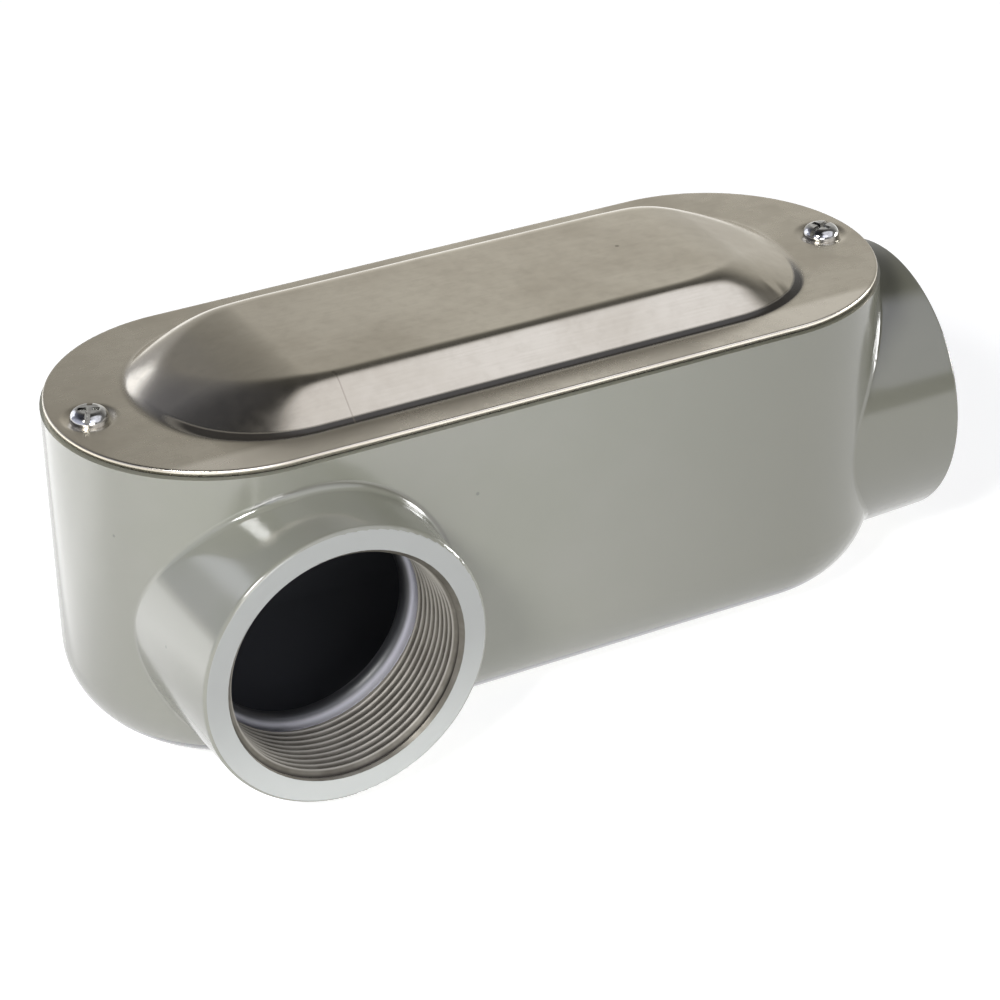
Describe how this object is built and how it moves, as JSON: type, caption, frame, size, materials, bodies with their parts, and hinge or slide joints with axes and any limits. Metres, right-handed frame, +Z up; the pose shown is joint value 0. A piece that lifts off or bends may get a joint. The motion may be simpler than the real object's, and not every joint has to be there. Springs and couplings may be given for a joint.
{
  "type": "threaded conduit body",
  "caption": "Right-angle threaded conduit body for 2 inch conduit: oblong cast housing, hubs at one end and one side, and a domed sheet cover held by screws on a gasket.",
  "frame": {"origin": "centre of the flat underside, below the middle of the cover", "axes": "+Z up through the cover, +X along the run to the end hub, -Y along the turn to the side hub"},
  "size_m": [0.2325, 0.105, 0.0935],
  "materials": {
    "casting_paint": "fine satin powder coat",
    "neoprene": "matt black",
    "cover_sheet": "satin rolled sheet",
    "plated_screw": "bright plated"
  },
  "bodies": {
    "root": {"body": "casting_paint", "gasket": "neoprene", "cover": "cover_sheet", "elbow_end_screw": "plated_screw", "hub_end_screw": "plated_screw"}
  },
  "joints": []
}
